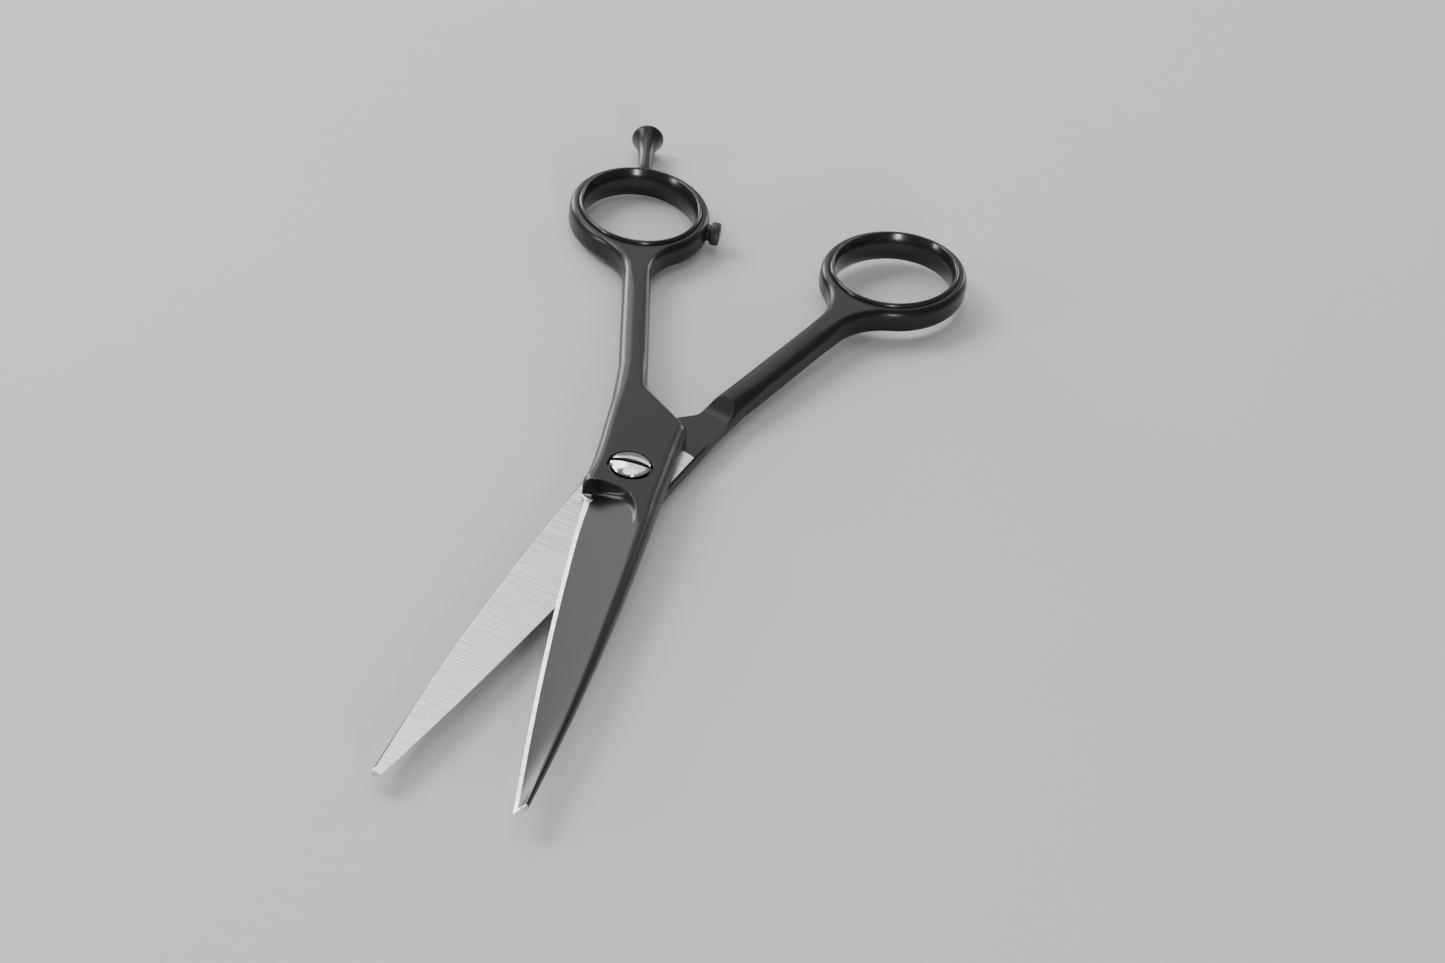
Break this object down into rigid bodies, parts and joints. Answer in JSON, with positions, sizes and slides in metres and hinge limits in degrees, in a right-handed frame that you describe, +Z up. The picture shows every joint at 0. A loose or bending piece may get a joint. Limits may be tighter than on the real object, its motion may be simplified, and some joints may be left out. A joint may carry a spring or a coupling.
{
  "type": "hair cutting shears",
  "caption": "Black hair cutting shears: crossed forged halves on a slotted tension screw, with lined finger rings, a closing bumper and a finger rest.",
  "frame": {"origin": "the pivot axis, at the flat underside of the thumb half that the shears rest on", "axes": "+Z up along the pivot axis; the finger half's blade points along -Y and its handle towards +Y; +X towards the thumb ring"},
  "size_m": [0.0729, 0.1915, 0.0078],
  "materials": {
    "coated_steel": "thin satin black coating over forged stainless steel; the inner faces, cutting edges and blunt tips are ground bare",
    "polished_steel": "polished",
    "bush_plastic": "smooth moulded",
    "lock_nylon": "plain nylon",
    "insert_plastic": "glossy moulded plastic",
    "bumper_rubber": "smooth hard rubber"
  },
  "bodies": {
    "finger_side": {"finger_half": "coated_steel", "glide_bush": "bush_plastic", "finger_ring_insert": "insert_plastic", "bumper": "bumper_rubber", "finger_rest": "coated_steel"},
    "thumb_side": {"thumb_half": "coated_steel", "thumb_ring_insert": "insert_plastic"},
    "screw": {"pivot_screw": "polished_steel", "thread_lock": "lock_nylon"}
  },
  "joints": [
    {"name": "blade_pivot", "type": "hinge", "parent": "finger_side", "child": "thumb_side", "pos_m": [0, 0, 0.0034], "axis": [0, 0, 1], "range_deg": [-105.7, 14.3]},
    {"name": "tension_screw", "type": "hinge", "parent": "thumb_side", "child": "screw", "pos_m": [0, 0, 0.0034], "axis": [0, 0, 1], "range_deg": [-90, 90]}
  ]
}
